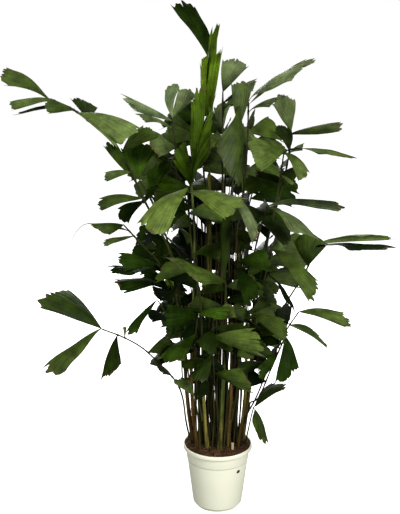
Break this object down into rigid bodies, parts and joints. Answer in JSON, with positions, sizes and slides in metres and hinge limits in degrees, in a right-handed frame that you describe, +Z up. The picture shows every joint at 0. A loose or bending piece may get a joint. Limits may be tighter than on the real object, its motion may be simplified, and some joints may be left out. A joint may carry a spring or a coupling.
{
  "type": "potted fishtail palm",
  "caption": "Clump of slender palm canes with arching fronds of wedge-shaped, ragged-edged leaflets, planted in bark soil in a plain round tapered nursery pot.",
  "frame": {"origin": "centre of the pot's underside, on the hub that stands level with the foot ring", "axes": "+Z up along the pot's axis; -Y towards the fuller, lit front of the plant; +X to its right seen from the front"},
  "size_m": [1.1912, 0.8322, 1.7195],
  "materials": {
    "pot_plastic": "matte, cream white",
    "bark_soil": "loose dark red-brown bark and peat",
    "cut_wood": "dry cut stem",
    "bark_brown": "fibrous brown leaf-sheath bark",
    "bark_olive": "smooth olive cane",
    "bark_lime": "smooth yellow-green cane",
    "bark_green": "smooth green sheath",
    "leaf_dark": "waxy leaf in shade, very dark green",
    "leaf_mid": "waxy leaf, mid green",
    "leaf_lit": "waxy leaf, yellow-green",
    "leaf_grey": "waxy leaf, grey-green",
    "leaf_bright": "young leaf, bright green"
  },
  "bodies": {
    "root": {"cane_01": "bark_brown", "cane_02": "bark_brown", "cane_03": "bark_olive", "cane_04": "bark_lime", "cane_05": "bark_olive", "cane_06": "bark_green", "cane_07": "bark_brown", "cane_08": "bark_brown", "cane_09": "bark_brown", "cane_10": "bark_olive", "cane_11": "bark_olive", "cane_12": "bark_olive", "cane_13": "bark_brown", "cut_stub": "cut_wood", "frond_centre_droop": "leaf_grey", "frond_centre_front": "leaf_lit", "frond_centre_low": "leaf_mid", "frond_crown_back": "leaf_dark", "frond_crown_left": "leaf_grey", "frond_crown_right": "leaf_grey", "frond_far_01": "leaf_dark", "frond_far_02": "leaf_mid", "frond_far_03": "leaf_grey", "frond_far_04": "leaf_dark", "frond_far_05": "leaf_mid", "frond_far_06": "leaf_grey", "frond_far_07": "leaf_dark", "frond_far_08": "leaf_mid", "frond_far_09": "leaf_grey", "frond_far_10": "leaf_dark", "frond_far_11": "leaf_mid", "frond_far_12": "leaf_grey", "frond_far_13": "leaf_dark", "frond_far_14": "leaf_mid", "frond_inner_dark": "leaf_dark", "frond_left_arm": "leaf_mid", "frond_left_basal": "leaf_mid", "frond_left_dark": "leaf_dark", "frond_left_dark_low": "leaf_dark", "frond_left_hanging": "leaf_dark", "frond_left_low_mid": "leaf_dark", "frond_left_lower": "leaf_mid", "frond_left_mid": "leaf_mid", "frond_middle": "leaf_lit", "frond_middle_left": "leaf_dark", "frond_middle_right": "leaf_mid", "frond_new": "leaf_bright", "frond_right_arch": "leaf_grey", "frond_right_basal": "leaf_mid", "frond_right_crown": "leaf_grey", "frond_right_dark": "leaf_dark", "frond_right_drooping": "leaf_dark", "frond_right_hanging": "leaf_mid", "frond_right_long": "leaf_mid", "frond_right_low": "leaf_mid", "frond_right_second": "leaf_mid", "frond_right_upper": "leaf_grey", "frond_spear": "leaf_bright", "pot": "pot_plastic", "soil": "bark_soil"}
  },
  "joints": []
}
